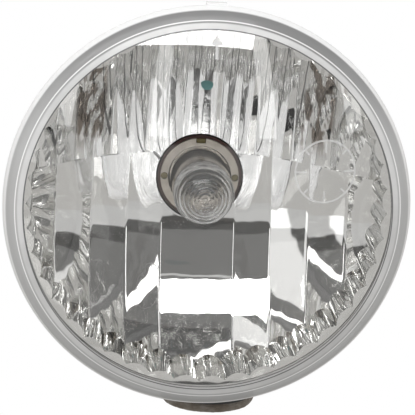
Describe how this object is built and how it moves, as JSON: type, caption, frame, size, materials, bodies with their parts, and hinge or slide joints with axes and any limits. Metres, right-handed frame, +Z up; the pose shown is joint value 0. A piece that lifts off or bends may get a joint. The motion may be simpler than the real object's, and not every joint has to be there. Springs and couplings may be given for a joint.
{
  "type": "fog light",
  "caption": "Round fog light with a clear domed lens, fluted mirror reflector, twist-lock bulb and tilting aim in a welded steel bracket.",
  "frame": {"origin": "centre of the bracket's three mounting holes, on the bracket's rear face and on the light's axis", "axes": "-Y out through the lens, +Y back into the car, +Z up, +X to the right seen from the front"},
  "size_m": [0.1, 0.0798, 0.1097],
  "materials": {
    "lens": "clear moulded polycarbonate, polished",
    "seal_rubber": "matt moulded rubber",
    "mirror": "vacuum-metallised, bright",
    "housing_plastic": "fine-grained black moulding",
    "plated_steel": "zinc plated",
    "membrane": "woven breathing film",
    "ring_steel": "plain pressed steel",
    "bulb_glass": "clear",
    "tungsten": "drawn wire",
    "bulb_plastic": "glass-filled brown moulding",
    "o_ring": "smooth",
    "terminal_brass": "bright",
    "bracket_steel": "black electrophoretic coat",
    "felt": "grey-brown needle felt",
    "bush_plastic": "natural acetal"
  },
  "bodies": {
    "bracket": {"bracket_plate": "bracket_steel", "bracket_arm_right": "bracket_steel", "bracket_arm_left": "bracket_steel", "bracket_foot": "bracket_steel", "foot_pad": "felt", "pivot_bush_right": "bush_plastic", "pivot_bush_left": "bush_plastic", "adjuster_bush": "bush_plastic"},
    "lamp": {"lens": "lens", "lens_seal": "seal_rubber", "reflector": "mirror", "housing": "housing_plastic", "reflector_screws": "plated_steel", "vent_caps": "seal_rubber", "vent_membranes": "membrane", "bulb_receiver": "ring_steel", "receiver_rivets": "plated_steel", "pivot_screw_right": "plated_steel", "pivot_screw_left": "plated_steel"},
    "bulb": {"bulb_glass": "bulb_glass", "bulb_stem": "bulb_glass", "bulb_leads": "tungsten", "bulb_filament": "tungsten", "bulb_cup": "ring_steel", "bulb_ring": "ring_steel", "bulb_base": "bulb_plastic", "bulb_seal": "o_ring", "bulb_terminals": "terminal_brass"},
    "adjuster_screw": {"adjuster_screw": "plated_steel", "adjuster_clip": "plated_steel"},
    "adjuster_nut": {"adjuster_nut": "bush_plastic"}
  },
  "joints": [
    {"name": "lamp_tilt", "type": "hinge", "parent": "bracket", "child": "lamp", "pos_m": [0, -0.02, 0], "axis": [1, 0, 0], "range_deg": [-4, 4]},
    {"name": "adjuster_turn", "type": "hinge", "parent": "bracket", "child": "adjuster_screw", "pos_m": [-0.022, 0, -0.04], "axis": [0, 1, 0], "range_deg": [-671.21, 671.21]},
    {"name": "nut_swivel", "type": "hinge", "parent": "lamp", "child": "adjuster_nut", "pos_m": [-0.022, -0.02, -0.04], "axis": [1, 0, 0], "range_deg": [-4.2, 4.2]},
    {"name": "bulb_twist", "type": "hinge", "parent": "lamp", "child": "bulb", "pos_m": [0, -0.01, 0], "axis": [0, 1, 0], "range_deg": [0, 45]}
  ],
  "couplings": [
    {"joint": "adjuster_turn", "follows": "lamp_tilt", "ratio": -167.55},
    {"joint": "nut_swivel", "follows": "lamp_tilt", "ratio": -1}
  ]
}
